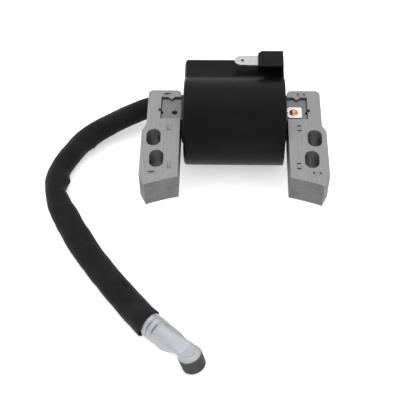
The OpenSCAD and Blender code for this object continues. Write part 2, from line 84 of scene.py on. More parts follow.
# The same points as in the part: x, y, z, then the sleeve's width and height there
LEAD_ROUTE = [
    (-19, 28.4, 8.6, 10, 10),
    (-26.5, 28.4, 8.6, 10, 10),
    (-31, 29, 8.6, 10, 10),
    (-35, 29.6, 8.6, 10, 10),
    (-39, 29.6, 8.6, 10, 10),
    (-43, 28.4, 8.4, 10.2, 10),
    (-48.4, 25.7, 8, 10, 10),
    (-55.2, 21.8, 7.5, 10, 10),
    (-61.3, 18, 6.9, 10.1, 10),
    (-67.5, 13.5, 6.3, 10.6, 10),
    (-72.8, 7.7, 5.7, 10.4, 10),
    (-76.8, 1.2, 5.3, 10.2, 10),
    (-79.9, -5.3, 5.1, 10.2, 9.8),
    (-81.7, -12.6, 4.8, 10.8, 9.2),
    (-81.2, -20.1, 4.6, 10, 8.9),
    (-78.6, -27.6, 4.5, 11.2, 8.7),
    (-75.2, -33.9, 4.4, 11.9, 8.5),
    (-71.6, -40.4, 4.3, 12, 8.4),
    (-67.3, -47.2, 4.2, 12.2, 8.3),
    (-63.3, -53.3, 4.2, 12.2, 8.3),
    (-58.8, -59.5, 4.2, 11.8, 8.3),
    (-54.3, -65.3, 4.2, 11.9, 8.3),
    (-49.2, -71.6, 4.3, 12.3, 8.5),
    (-44.4, -77.3, 4.5, 12.5, 8.8),
    (-40.2, -82.4, 4.9, 12.5, 9.7),
]
TERMINAL_AT = Vector((-34, -88.8, 5.6))
TERMINAL_YAW = math.radians(-41)
LEAD_D = 7
CORE_D = 1.36
LEAD_EXIT = Vector((-22.8, 28.4, 8.6)) * MM
SLEEVE_END = [(-4, 12.5, 11), (-0.8, 12.4, 11.1)]


def terminal_point(u, width, height):
    """A route point u millimetres along the terminal's axis."""
    x = TERMINAL_AT.x + u * math.cos(TERMINAL_YAW)
    y = TERMINAL_AT.y + u * math.sin(TERMINAL_YAW)
    return (x, y, TERMINAL_AT.z, width, height)


def smooth_route(points, step):
    """Rows of numbers on a smooth curve through the given rows, about step apart."""
    rows = []
    ends = [points[0]] + list(points) + [points[-1]]
    for a, b, c, d in zip(ends, ends[1:], ends[2:], ends[3:]):
        count = max(2, round(math.dist(b[:3], c[:3]) / step))
        for i in range(count):
            t = i / count
            weights = (
                -0.5 * t + t * t - 0.5 * t**3,
                1 - 2.5 * t * t + 1.5 * t**3,
                0.5 * t + 2 * t * t - 1.5 * t**3,
                -0.5 * t * t + 0.5 * t**3,
            )
            rows.append([sum(w * p[k] for w, p in zip(weights, (a, b, c, d))) for k in range(len(b))])
    rows.append(list(points[-1]))
    return rows


def route_length(rows):
    return sum(math.dist(a[:3], b[:3]) for a, b in zip(rows, rows[1:]))


# ---------- finishes ----------


class Wire:
    """A socket in a finish's node tree. Arithmetic on it adds Math nodes."""

    def __init__(self, finish, socket):
        self.finish = finish
        self.socket = socket

    def maths(self, operation, first, second=0.0):
        return self.finish.node("ShaderNodeMath", {"operation": operation}, {0: first, 1: second})

    def __add__(self, other):
        return self.maths("ADD", self, other)

    __radd__ = __add__

    def __sub__(self, other):
        return self.maths("SUBTRACT", self, other)

    def __rsub__(self, other):
        return self.maths("SUBTRACT", other, self)

    def __mul__(self, other):
        return self.maths("MULTIPLY", self, other)

    __rmul__ = __mul__

    def __abs__(self):
        return self.maths("ABSOLUTE", self)

    def sine(self):
        return self.maths("SINE", self)

    def most(self, other):
        return self.maths("MAXIMUM", self, other)

    def fade(self, low, high, start=0.0, end=1.0):
        """Start below low, end above high, and in between a straight change."""
        sockets = {"Value": self, "From Min": low, "From Max": high, "To Min": start, "To Max": end}
        return self.finish.node("ShaderNodeMapRange", {}, sockets)


class Finish:
    """One procedural material. Its shader's fixed numbers are given by socket name."""

    def __init__(self, name, fixed):
        self.material = bpy.data.materials.new(name)
        self.material.use_nodes = True
        self.tree = self.material.node_tree
        self.shader = self.tree.nodes["Principled BSDF"]
        self.feed(fixed)

    def node(self, kind, settings=None, sockets=None, output=0):
        made = self.tree.nodes.new(kind)
        for key, value in (settings or {}).items():
            setattr(made, key, value)
        for key, value in (sockets or {}).items():
            self.join(value, made.inputs[key])
        return Wire(self, made.outputs[output])

    def join(self, value, socket):
        if isinstance(value, Wire):
            self.tree.links.new(value.socket, socket)
        else:
            socket.default_value = value

    def feed(self, sockets):
        for key, value in sockets.items():
            self.join(value, self.shader.inputs[key])
        return self.material

    def place(self, stretch=(1, 1, 1), turn=(0, 0, 0), source="Object"):
        where = self.node("ShaderNodeTexCoord", output=source)
        return self.node("ShaderNodeMapping", {}, {"Vector": where, "Scale": stretch, "Rotation": turn})

    def along(self, axis, source="Object"):
        """One coordinate, in metres."""
        parts = self.node("ShaderNodeSeparateXYZ", {}, {"Vector": self.place(source=source)}, axis)
        return parts

    def noise(self, grain, detail=3.0, stretch=(1, 1, 1), source="Object", turn=(0, 0, 0)):
        """Noise whose spots are about grain millimetres across."""
        sockets = {
            "Vector": self.place(stretch, turn, source),
            "Scale": 1 / (grain * MM),
            "Detail": detail,
        }
        return self.node("ShaderNodeTexNoise", {}, sockets)

    def spots(self, grain):
        """Distance to the nearest of many scattered points, in units of grain millimetres."""
        return self.node("ShaderNodeTexVoronoi", {}, {"Vector": self.place(), "Scale": 1 / (grain * MM)})

    def mix(self, share, first, second):
        return self.node("ShaderNodeMix", {"data_type": "RGBA"}, {0: share, 6: first, 7: second}, 2)

    def bump(self, height, depth):
        """Relief whose highest point stands depth millimetres above its lowest."""
        return self.node("ShaderNodeBump", {}, {"Distance": depth * MM, "Height": height})


def grey(value, warm=0.0):
    return (value * (1 + warm), value, value * (1 - warm), 1)


def steel_face_finish(name, dark, light, stain):
    """Rolled silicon steel: fine grain along the legs, pale stains and a few dark specks."""
    finish = Finish(name, {"Metallic": 1.0})
    grain = finish.noise(0.35, 3, stretch=(1, 0.06, 1))
    blotch = finish.noise(5, 4)
    speck = finish.noise(0.45, 2)
    colour = finish.mix(grain.fade(0.3, 0.7), grey(dark), grey(light))
    colour = finish.mix(blotch.fade(0.42, 0.7, 0, 0.55), colour, grey(stain, 0.01))
    colour = finish.mix(speck.fade(0.66, 0.74, 0, 0.55), colour, grey(dark * 0.35, 0.03))
    rough = blotch.fade(0.3, 0.7, 0.4, 0.56) + grain * 0.08
    relief = finish.bump(grain + speck * 0.6, 0.012)
    return finish.feed({"Base Color": colour, "Roughness": rough, "Normal": relief})


def steel_edge_finish(name, dark, light):
    """Punched edge of a sheet: sheared band, darker break and a trace of oil, in greys set well below the
    face's as painted shade on the sheets' sides.
    """
    finish = Finish(name, {"Metallic": 1.0})
    tear = finish.noise(0.25, 3, stretch=(1, 1, 0.2))
    oil = finish.noise(4, 3)
    colour = finish.mix(tear.fade(0.35, 0.7), grey(dark), grey(light))
    colour = finish.mix(oil.fade(0.5, 0.75, 0, 0.5), colour, grey(dark * 0.7, 0.05))
    return finish.feed(
        {
            "Base Color": colour,
            "Roughness": oil.fade(0.3, 0.7, 0.46, 0.6),
            "Normal": finish.bump(tear, 0.02),
        }
    )


def moulding_finish(name, dark, light, rough, depth=0.012, specular=0.3):
    """Glass-filled moulding compound with a spark-eroded grain and faint flow marks."""
    finish = Finish(name, {"Specular IOR Level": specular})
    grain = finish.noise(0.22, 3)
    flow = finish.noise(7, 4, stretch=(0.5, 1, 1))
    scuff = finish.noise(0.5, 2, stretch=(0.08, 1, 1))
    colour = finish.mix(flow.fade(0.35, 0.7), grey(dark, -0.02), grey(light, -0.02))
    colour = finish.mix(scuff.fade(0.66, 0.76, 0, 0.25), colour, grey(light * 2.2))
    roughness = flow.fade(0.3, 0.7, rough - 0.05, rough + 0.07) - scuff.fade(0.6, 0.8, 0, 0.06)
    return finish.feed(
        {"Base Color": colour, "Roughness": roughness, "Normal": finish.bump(grain + flow * 2, depth)}
    )


def resin_finish():
    """Poured potting resin: glossy, slightly uneven, with small popped bubbles."""
    finish = Finish("potting_resin", {"Coat Roughness": 0.12})
    swell = finish.noise(6, 2)
    bubble = finish.spots(2.6).fade(0.0, 0.22)
    cloud = finish.noise(3, 4)
    colour = finish.mix(cloud.fade(0.35, 0.7), (0.012, 0.011, 0.010, 1), (0.035, 0.030, 0.026, 1))
    return finish.feed(
        {
            "Base Color": colour,
            "Roughness": cloud.fade(0.3, 0.7, 0.22, 0.38),
            "Coat Weight": swell.fade(0.3, 0.7, 0.3, 0.6),
            "Normal": finish.bump(swell * 4 + bubble, 0.09),
        }
    )


def plate_finish(name, dark, light, tint, rough, scratch=0.01):
    """Bright plating over sheet metal with fine draw lines, cloudiness and small dull spots."""
    finish = Finish(name, {"Metallic": 1.0})
    cloud = finish.noise(3.2, 4)
    lines = finish.noise(0.3, 3, stretch=(0.12, 1, 1))
    spot = finish.noise(0.7, 2)
    low, high = ([shade * part for part in tint] + [1] for shade in (dark, light))
    colour = finish.mix(cloud.fade(0.3, 0.7), low, high)
    colour = finish.mix(spot.fade(0.64, 0.74, 0, 0.4), colour, (dark * 0.5, dark * 0.5, dark * 0.52, 1))
    roughness = cloud.fade(0.3, 0.7, rough - 0.05, rough + 0.08) + spot.fade(0.6, 0.75, 0, 0.15)
    return finish.feed(
        {"Base Color": colour, "Roughness": roughness, "Normal": finish.bump(lines + cloud * 2, scratch)}
    )


def copper_finish(name="copper_bright"):
    """Bare copper, browned in patches."""
    finish = Finish(name, {"Metallic": 1.0})
    patch = finish.noise(1.4, 4)
    fine = finish.noise(0.3, 3)
    colour = finish.mix(patch.fade(0.35, 0.65), (0.80, 0.36, 0.19, 1), (0.42, 0.15, 0.07, 1))
    colour = finish.mix(fine.fade(0.6, 0.75, 0, 0.5), colour, (0.16, 0.06, 0.035, 1))
    return finish.feed(
        {
            "Base Color": colour,
            "Roughness": patch.fade(0.3, 0.7, 0.24, 0.42),
            "Normal": finish.bump(fine, 0.015),
        }
    )


def winding_finish(name, wire, axis=0):
    """Enamelled copper wire laid turn by turn, painted dark in the gaps between turns as shade; wire is
    its diameter in millimetres.
    """
    finish = Finish(name, {"Coat Roughness": 0.15})
    turns = abs((finish.along(axis) * (math.pi / (wire * MM))).sine())
    tone = finish.noise(2, 3)
    # Dark in the gaps between turns and light on their crests: painted shade between the wires.
    colour = finish.mix(turns.fade(0.1, 0.9), (0.16, 0.045, 0.015, 1), (0.62, 0.22, 0.08, 1))
    colour = finish.mix(tone.fade(0.4, 0.7, 0, 0.4), colour, (0.40, 0.12, 0.05, 1))
    return finish.feed(
        {
            "Base Color": colour,
            "Metallic": turns.fade(0, 1, 0.7, 0.95),
            "Roughness": tone.fade(0.3, 0.7, 0.25, 0.4),
            "Coat Weight": tone.fade(0.3, 0.7, 0.3, 0.6),
            "Normal": finish.bump(turns, wire * 0.4),
        }
    )


def tape_finish():
    """Yellow polyester tape, wound in lapped turns."""
    finish = Finish("polyester_tape", {"Coat Roughness": 0.1})
    lap = abs((finish.along(0) * (math.pi / (6 * MM))).sine())
    crease = finish.noise(0.8, 3, stretch=(0.3, 1, 1))
    colour = finish.mix(lap.fade(0, 0.15), (0.45, 0.31, 0.06, 1), (0.72, 0.55, 0.16, 1))
    return finish.feed(
        {
            "Base Color": colour,
            "Roughness": crease.fade(0.3, 0.7, 0.25, 0.4),
            "Coat Weight": lap.fade(0, 1, 0.3, 0.5),
            "Normal": finish.bump(crease + lap.fade(0, 0.1), 0.04),
        }
    )


def board_finish():
    """Green circuit laminate with the glass weave just showing through."""
    finish = Finish("circuit_board", {"Coat Roughness": 0.2})
    weave = (finish.along(0) * 9000).sine() * (finish.along(1) * 9000).sine()
    tone = finish.noise(2, 3)
    colour = finish.mix(weave.fade(-1, 1), (0.01, 0.09, 0.03, 1), (0.02, 0.15, 0.06, 1))
    colour = finish.mix(tone.fade(0.5, 0.7, 0, 0.4), colour, (0.02, 0.06, 0.03, 1))
    return finish.feed(
        {
            "Base Color": colour,
            "Roughness": tone.fade(0.3, 0.7, 0.3, 0.5),
            "Normal": finish.bump(weave, 0.01),
        }
    )


def rubber_finish(name, dark, light, rough):
    """Extruded or moulded black rubber with a fine bloom."""
    finish = Finish(name, {"Specular IOR Level": 0.35})
    bloom = finish.noise(2.4, 4)
    fine = finish.noise(0.18, 3)
    colour = finish.mix(bloom.fade(0.35, 0.7), grey(dark), grey(light))
    colour = finish.mix(fine.fade(0.62, 0.75, 0, 0.3), colour, grey(light * 1.9))
    return finish.feed(
        {
            "Base Color": colour,
            "Roughness": bloom.fade(0.3, 0.7, rough - 0.06, rough + 0.08),
            "Normal": finish.bump(fine + bloom, 0.02),
        }
    )


def sleeve_finish():
    """Black woven sleeve: plain weave on the sleeve's own map, painted paler on the thread crests and
    darker in the hollows between them as light and shade.
    """
    thread = 0.62 * MM
    sheen = {"Sheen Weight": 0.08, "Sheen Roughness": 0.5, "Specular IOR Level": 0.15}
    finish = Finish("woven_sleeve", sheen)
    drift = finish.noise(3, 2, source="UV")
    warp = (finish.along(0, "UV") * (math.pi / thread) + drift * 0.9).sine()
    weft = (finish.along(1, "UV") * (math.pi / thread) + drift * 0.7).sine()
    over = warp * weft
    crest = abs(warp).most(abs(weft)) * 0.5 + over * 0.5
    fuzz = finish.noise(0.25, 4, source="UV")
    patch = finish.noise(9, 4)
    # Paler on the weave's crests, darker in its hollows: painted light and painted shade on the threads.
    colour = finish.mix(crest.fade(0.1, 0.95), grey(0.002), grey(0.012, 0.01))
    colour = finish.mix(fuzz.fade(0.5, 0.72, 0, 0.5), colour, grey(0.026, 0.02))
    colour = finish.mix(patch.fade(0.45, 0.75, 0, 0.4), colour, grey(0.018, 0.01))
    return finish.feed(
        {
            "Base Color": colour,
            "Roughness": fuzz.fade(0.3, 0.7, 0.78, 0.95),
            "Normal": finish.bump(crest * 1.6 + fuzz, 0.2),
        }
    )


def floor_finish():
    """Pale matt paper sweep."""
    finish = Finish("paper_sweep", {"Specular IOR Level": 0.1, "Emission Strength": 0.35})
    fibre = finish.noise(1.2, 4)
    colour = finish.mix(fibre.fade(0.3, 0.7), grey(0.93), grey(0.95))
    return finish.feed(
        {
            "Base Color": colour,
            "Roughness": fibre.fade(0.3, 0.7, 0.85, 0.95),
            "Normal": finish.bump(fibre, 0.01),
        }
    )


# ---------- making pieces ----------


def piece(name, shape, finishes, replaced=()):
    """An object from a bmesh, riding on the coil's body."""
    mesh = bpy.data.meshes.new(name)
    shape.to_mesh(mesh)
    shape.free()
    made = bpy.data.objects.new(name, mesh)
    bpy.context.scene.collection.objects.link(made)
    for material in finishes:
        mesh.materials.append(material)
    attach(made, BODY)
    if replaced:
        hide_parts(*replaced)
    return made


def smooth(made, angle=35):
    """Smooth shading, broken at edges sharper than the angle."""
    made.data.shade_smooth()
    made.data.set_sharp_from_angle(angle=math.radians(angle))
    weighted = made.modifiers.new("weighted", "WEIGHTED_NORMAL")
    weighted.keep_sharp = True
    return made


def bevel_edges(shape, edges, width, segments=2):
    bmesh.ops.bevel(
        shape,
        geom=edges,
        offset=width,
        offset_type="OFFSET",
        affect="EDGES",
        segments=segments,
        profile=0.5,
        material=-1,
        clamp_overlap=True,
    )


def merged_copy(node):
    """A CAD node's shape with its loose triangles joined up."""
    shape = bmesh.new()
    shape.from_mesh(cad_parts[node].data)
    bmesh.ops.remove_doubles(shape, verts=shape.verts, dist=WELD)
    return shape


def sharp_edges(shape, angle=35):
    return [e for e in shape.edges if e.is_manifold and e.calc_face_angle() > math.radians(angle)]


FLAT_LIMIT = math.radians(0.6)


def plain_faced_copy(node):
    """A CAD node's shape with each flat side as one face."""
    shape = merged_copy(node)
    bmesh.ops.dissolve_limit(
        shape, angle_limit=FLAT_LIMIT, verts=shape.verts[:], edges=shape.edges[:]
    )
    return shape


def softened(name, node, width, finish, segments=2):
    """A CAD node with its hard edges broken, as a moulding or stamping has them."""
    shape = plain_faced_copy(node)
    bevel_edges(shape, sharp_edges(shape), width, segments)
    bmesh.ops.triangulate(shape, faces=[f for f in shape.faces if len(f.verts) > 4])
    return smooth(piece(name, shape, [finish], [node]))


# Centre of the drum's end face, what stays clear of its rounded rim, and the two edge widths
DRUM_AXIS = (10.26 * MM, 20.48 * MM)
TUBE_CLEAR = 10 * MM
SEAL_CLEAR = 6 * MM
END_ROUNDING = 1.8 * MM
EDGE_ROUNDING = 0.35 * MM
END_DEPTH = 2 * MM


def housing(finish):
    """The moulded drum: its closed end is well rounded, its other edges are nearly sharp."""
    shape = plain_faced_copy("coil_housing")
    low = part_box("coil_housing")[0]
    rim = []
    for e in sharp_edges(shape):
        at = (e.verts[0].co + e.verts[1].co) / 2
        closed_end = all(v.co.x < low.x + WELD for v in e.verts)
        off_axis = max(abs(at.y - DRUM_AXIS[0]), abs(at.z - DRUM_AXIS[1]))
        by_tube = off_axis < TUBE_CLEAR
        by_lead = math.hypot(at.y - LEAD_EXIT.y, at.z - LEAD_EXIT.z) < SEAL_CLEAR
        if closed_end and not by_tube and not by_lead:
            rim.append(e)
    bevel_edges(shape, rim, END_ROUNDING, 5)
    past_end = low.x + END_DEPTH
    fine = [e for e in sharp_edges(shape, 50) if all(v.co.x > past_end for v in e.verts)]
    bevel_edges(shape, fine, EDGE_ROUNDING, 3)
    bmesh.ops.triangulate(shape, faces=[f for f in shape.faces if len(f.verts) > 4])
    return smooth(piece("coil_housing_moulded", shape, [finish], ["coil_housing"]))


# The blade: length past its shoulders, length of the shoulders and the share of width past them
BLADE_TIP_L = 6.3 * MM
BLADE_SHOULDER_L = 0.7 * MM
BLADE_TIP_WIDTH = 0.91


def stop_blade(finish):
    """The push-on blade, a little narrower past its shoulders."""
    shape = merged_copy("stop_terminal")
    low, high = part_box("stop_terminal")
    shoulder = low.x + BLADE_TIP_L
    for x in (shoulder, shoulder - BLADE_SHOULDER_L):
        geometry = shape.verts[:] + shape.edges[:] + shape.faces[:]
        bmesh.ops.bisect_plane(shape, geom=geometry, dist=1e-7, plane_co=(x, 0, 0), plane_no=(1, 0, 0))
    middle = (low.y + high.y) / 2
    for v in shape.verts:
        if v.co.x < shoulder - 0.5 * MM:
            v.co.y = middle + (v.co.y - middle) * BLADE_TIP_WIDTH
    bevel_edges(shape, sharp_edges(shape, 50), 0.12 * MM, 2)
    return smooth(piece("stop_blade", shape, [finish], ["stop_terminal"]))


# ---------- laminated core ----------

SHEET_T = 0.6 * MM
SHEET_GAP = 0.045 * MM
SHEET_EDGE = 0.07 * MM
LEG_SHEETS = 24
BAR_SHEETS = 21


def flat_section(node, height):
    """The outline of a CAD node at one height, filled with faces."""
    shape = merged_copy(node)
    everything = shape.verts[:] + shape.edges[:] + shape.faces[:]
    bmesh.ops.bisect_plane(
        shape,
        geom=everything,
        dist=1e-9,
        plane_co=(0, 0, height),
        plane_no=(0, 0, 1),
        clear_inner=True,
        clear_outer=True,
    )
    bmesh.ops.delete(shape, geom=[v for v in shape.verts if abs(v.co.z - height) > 1e-7], context="VERTS")
    bmesh.ops.remove_doubles(shape, verts=shape.verts, dist=WELD)
    straight = []
    for v in shape.verts:
        if len(v.link_edges) == 2:
            a, b = (e.other_vert(v).co - v.co for e in v.link_edges)
            if a.length > 0 and b.length > 0 and math.pi - a.angle(b) < math.radians(0.15):
                straight.append(v)
    bmesh.ops.dissolve_verts(shape, verts=straight)
    bmesh.ops.triangle_fill(shape, edges=shape.edges[:], use_beauty=True, normal=(0, 0, 1))
    return shape


def one_sheet(node, height):
    """One punched sheet lying on z = 0, its rims slightly rolled over."""
    shape = flat_section(node, height)
    bmesh.ops.translate(shape, verts=shape.verts, vec=(0, 0, -height))
    lower = shape.faces[:]
    for f in lower:
        if f.normal.z > 0:
            f.normal_flip()
    thick = SHEET_T - SHEET_GAP
    grown = bmesh.ops.extrude_face_region(shape, geom=lower, use_keep_orig=True)["geom"]
    upper = [v for v in grown if isinstance(v, bmesh.types.BMVert)]
    bmesh.ops.translate(shape, verts=upper, vec=(0, 0, thick))
    bmesh.ops.recalc_face_normals(shape, faces=shape.faces[:])
    rims = [
        e
        for e in shape.edges
        if e.is_manifold and e.calc_face_angle() > 1 and abs(e.verts[0].co.z - e.verts[1].co.z) < WELD
    ]
    bmesh.ops.bevel(
        shape,
        geom=rims,
        offset=SHEET_EDGE,
        offset_type="OFFSET",
        affect="EDGES",
        segments=1,
        profile=0.5,
        material=-1,
        clamp_overlap=False,
    )
    # Side faces take the second finish, whose low greys are painted shade on the sheets' sides.
    for f in shape.faces:
        f.material_index = 1 if abs(f.normal.z) < 0.5 else 0
    mesh = bpy.data.meshes.new("sheet")
    shape.to_mesh(mesh)
    shape.free()
    return mesh


def sheet_stack(node, count, wander):
    """Sheets one on another through the node's thickness, each a hair out of line."""
    low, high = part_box(node)
    inner = one_sheet(node, (low.z + high.z) / 2 - 0.1 * MM)
    outer = one_sheet(node, high.z - 0.2 * MM)
    stack = bmesh.new()
    middle = (low + high) / 2
    for i in range(count):
        first = len(stack.verts)
        at_end = i in (0, count - 1)
        stack.from_mesh(outer if at_end else inner)
        stack.verts.ensure_lookup_table()
        verts = stack.verts[first:]
        if i == 0:
            bmesh.ops.scale(stack, verts=verts, vec=(1, 1, -1), space=Matrix.Identity(4))
            faces = list({f for v in verts for f in v.link_faces})
            bmesh.ops.reverse_faces(stack, faces=faces)
            bmesh.ops.translate(stack, verts=verts, vec=(0, 0, SHEET_T - SHEET_GAP))
        inward = Vector((-1 if middle.x > 0 else 1, 0, 0)) if abs(middle.x) > MM else Vector()
        drift = inward * chance.uniform(0, wander) + Vector((0, chance.uniform(0, wander) * 0.5, 0))
        if at_end:
            drift = Vector()
        lift = low.z + i * SHEET_T + SHEET_GAP / 2
        bmesh.ops.translate(stack, verts=verts, vec=drift + Vector((0, 0, lift)))
    return stack


# Centres of the interlocks on the right leg: x, y, and True where the long side runs along Y
INTERLOCKS = [(30.8, 18.98, False), (29.1, -1.44, True), (28.2, -23.19, True), (35.85, -27.29, False)]
INTERLOCK_L = 3.5
INTERLOCK_W = 1.5


def add_tongue(stack, at, lengthwise, top, raised):
    """The lanced strip inside an interlock: a sunk V, or on the other face a flush bridge."""
    first = len(stack.verts)
    made = bmesh.ops.create_cube(stack, size=1)["verts"]
    length, thick = (1.9, 0.5) if raised else (INTERLOCK_L, 0.3)
    bmesh.ops.scale(stack, verts=made, vec=(length * MM, INTERLOCK_W * MM, thick * MM))
    edges = list({e for v in made for e in v.link_edges})
    cuts = [e for e in edges if abs(e.verts[0].co.x - e.verts[1].co.x) > WELD]
    bmesh.ops.subdivide_edges(stack, edges=cuts, cuts=1, use_grid_fill=True)
    stack.verts.ensure_lookup_table()
    whole = stack.verts[first:]
    drop = 0.0 if raised else -0.62
    middle = [v for v in whole if abs(v.co.x) < WELD]
    bmesh.ops.translate(stack, verts=middle, vec=(0, 0, drop * MM))
    if lengthwise:
        quarter = Matrix.Rotation(math.radians(90), 3, "Z")
        bmesh.ops.rotate(stack, verts=whole, cent=(0, 0, 0), matrix=quarter)
    depth = thick / 2 + (0.02 if raised else 0.06)
    bmesh.ops.translate(stack, verts=whole, vec=(at[0], at[1], top - depth * MM))


def leg(side, face, edge):
    name = "right" if side > 0 else "left"
    node = "leg_stack_" + name
    stack = sheet_stack(node, LEG_SHEETS, 0.05 * MM)
    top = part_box(node)[1].z - SHEET_GAP / 2
    for x, y, lengthwise in INTERLOCKS:
        add_tongue(stack, (side * x * MM, y * MM), lengthwise, top, side > 0)
    return smooth(piece("leg_sheets_" + name, stack, [face, edge], [node]), 20)


def core_bar(face, edge):
    stack = sheet_stack("core_bar_stack", BAR_SHEETS, 0.04 * MM)
    return smooth(piece("core_bar_sheets", stack, [face, edge], ["core_bar_stack"]), 20)


# ---------- lead and sleeve ----------


def cable(name, rows, diameter, finish, replaced):
    """A round cable along route rows, as a curve."""
    line = bpy.data.curves.new(name, "CURVE")
    line.dimensions = "3D"
    line.bevel_depth = diameter / 2 * MM
    line.bevel_resolution = 8
    line.use_fill_caps = True
    spline = line.splines.new("POLY")
    spline.points.add(len(rows) - 1)
    for point, row in zip(spline.points, rows):
        point.co = (row[0] * MM, row[1] * MM, row[2] * MM, 1)
    spline.use_smooth = True
    line.materials.append(finish)
    made = bpy.data.objects.new(name, line)
    bpy.context.scene.collection.objects.link(made)
    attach(made, BODY)
    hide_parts(replaced)
    return made


# Folds of the sleeve: distance along it, angle round it (0 = the inside of the bend, 90 = top),
# length, width in degrees, and height outwards, negative for a dent
SLEEVE_FOLDS = [
    (49.5, 2, 2.6, 34, 1.0),
    (55, 4, 3.5, 40, -0.3),
    (70, 4, 4.5, 42, -0.4),
    (76.5, 2, 2.8, 38, 1.0),
    (83.5, 4, 2.2, 46, -0.9),
    (90, 2, 4, 40, -0.1),
    (44, 60, 6, 34, -0.15),
    (62, 105, 8, 30, 0.1),
    (112, 30, 4, 40, 0.15),
    (131, 4, 4, 36, 0.2),
    (140, 80, 12, 26, -0.2),
    (160, 70, 7, 20, -0.2),
    (24, 80, 9, 26, -0.15),
]
AROUND = 80
SLEEVE_WALL = 0.42


def sleeve_swell(s, angle, total):
    """How far the cloth stands off its plain oval, in millimetres."""
    swell = 0.0
    for at, direction, length, width, height in SLEEVE_FOLDS:
        turn = (math.degrees(angle) - direction + 180) % 360 - 180
        swell += height * math.exp(-(((s - at) / length) ** 2) - (turn / width) ** 2)
    around = Vector((math.cos(angle), math.sin(angle), 0))
    swell += 0.18 * noise.noise(Vector((around.x * 1.3, around.y * 1.3, s * 0.11)))
    swell += 0.13 * noise.noise(Vector((around.x * 3.4, around.y * 3.4, s * 0.3 + 40)))
    swell += 0.05 * noise.noise(Vector((around.x * 9, around.y * 9, s * 0.9 + 90)))
    mouth = max(0.0, 1 - (total - s) / 5)
    outside = math.exp(-((math.degrees(angle) % 360 - 180) / 60) ** 2)
    return swell + mouth * mouth * 0.55 * outside


def sleeve(finish):
    """The woven sleeve as one cloth tube, open at both ends."""
    rows = smooth_route(LEAD_ROUTE[1:] + [terminal_point(*end) for end in SLEEVE_END], 0.55)
    total = route_length(rows)
    shape = bmesh.new()
    bmesh.ops.create_grid(
        shape, x_segments=len(rows) - 1, y_segments=AROUND, size=0.5, calc_uvs=True
    )
    uv = shape.loops.layers.uv.verify()
    perimeter = 31.6
    stations = []
    s = 0.0
    for i, row in enumerate(rows):
        if i:
            s += math.dist(row[:3], rows[i - 1][:3])
        ahead = Vector(rows[min(i + 1, len(rows) - 1)][:3]) - Vector(rows[max(i - 1, 0)][:3])
        side = Vector((0, 0, 1)).cross(ahead).normalized()
        stations.append((s, Vector(row[:3]), side, ahead.cross(side).normalized(), row[3] / 2, row[4] / 2))
    for v in shape.verts:
        column = round((v.co.x + 0.5) * (len(rows) - 1))
        turn = (v.co.y + 0.5) * 2 * math.pi
        s, centre, side, up, half_w, half_h = stations[column]
        swell = sleeve_swell(s, turn, total)
        x = (half_w + swell) * math.cos(turn)
        y = (half_h + swell) * math.sin(turn)
        v.co = (centre + x * side + y * up) * MM
        v.co.z = max(v.co.z, 0.02 * MM)
    for f in shape.faces:
        for loop in f.loops:
            u, v = loop[uv].uv
            loop[uv].uv = (u * total * MM, v * perimeter * MM)
    bmesh.ops.remove_doubles(shape, verts=shape.verts, dist=0.01 * MM)
    bmesh.ops.recalc_face_normals(shape, faces=shape.faces[:])
    made = piece("lead_sleeve_cloth", shape, [finish], ["lead_sleeve"])
    made.data.shade_smooth()
    wall = made.modifiers.new("wall", "SOLIDIFY")
    wall.thickness = SLEEVE_WALL * MM
    wall.offset = -1
    return made


# ---------- plug terminal ----------


def to_terminal(shape):
    """From the terminal's own frame, in millimetres with X along the lead, to its place."""
    turn = Matrix.Rotation(TERMINAL_YAW, 4, "Z")
    move = Matrix.Translation(TERMINAL_AT * MM) @ turn @ Matrix.Scale(MM, 4)
    bmesh.ops.transform(shape, verts=shape.verts, matrix=move)


CAP_AT = Vector((22.25, -0.3, 2.89))
CAP_TILT = math.radians(-20)
CAP_R = 4.8
RING_H = 6.9
RING_R = 5.0
RING_BORE = 3.65


def turned(shape, profile, axis, steps, closed=True):
    """Spins a chain of points, given as distance along the axis and radius, into a body."""
    across = Vector((0, 1, 0)) if axis == "X" else Vector((1, 0, 0))
    forward = Vector((1, 0, 0)) if axis == "X" else Vector((0, 0, 1))
    verts = [shape.verts.new(forward * u + across * r) for u, r in profile]
    pairs = list(zip(verts, verts[1:])) + ([(verts[-1], verts[0])] if closed else [])
    edges = [shape.edges.new(p) for p in pairs]
    made = bmesh.ops.spin(
        shape,
        geom=verts + edges,
        cent=(0, 0, 0),
        axis=forward,
        angle=2 * math.pi,
        steps=steps,
        use_merge=True,
    )
    grown = [v for v in made["geom_last"] if isinstance(v, bmesh.types.BMVert)]
    return verts + grown


# Barrel: distance along it and radius
BARREL = [
    (-2.0, 3.55),
    (-2.0, 4.7),
    (-1.7, 4.9),
    (-0.9, 5.0),
    (-0.6, 5.25),
    (0.2, 5.38),
    (1.1, 5.28),
    (1.6, 5.0),
    (2.1, 5.28),
    (2.6, 5.42),
    (3.3, 5.42),
    (3.9, 5.28),
    (4.4, 4.95),
    (4.8, 5.28),
    (5.2, 5.48),
    (5.6, 5.42),
    (6.0, 5.16),
    (6.8, 5.22),
    (8.5, 5.3),
    (10.7, 5.3),
    (10.7, 0.0),
    (8.6, 0.0),
    (8.6, 3.55),
]
# Pressed body: distance along it, half width, top and underside
BODY_SECTIONS = [
    (10.2, 5.26, 5.26, -5.26),
    (11.6, 5.15, 5.2, -4.6),
    (13.0, 4.85, 5.05, -3.3),
    (14.4, 4.45, 4.85, -1.8),
    (15.6, 4.1, 4.65, -0.4),
    (16.6, 3.85, 4.5, 0.6),
    (17.6, 3.8, 4.4, 1.2),
    (18.8, 4.0, 4.35, 1.5),
    (20.4, 4.3, 4.3, 1.6),
]
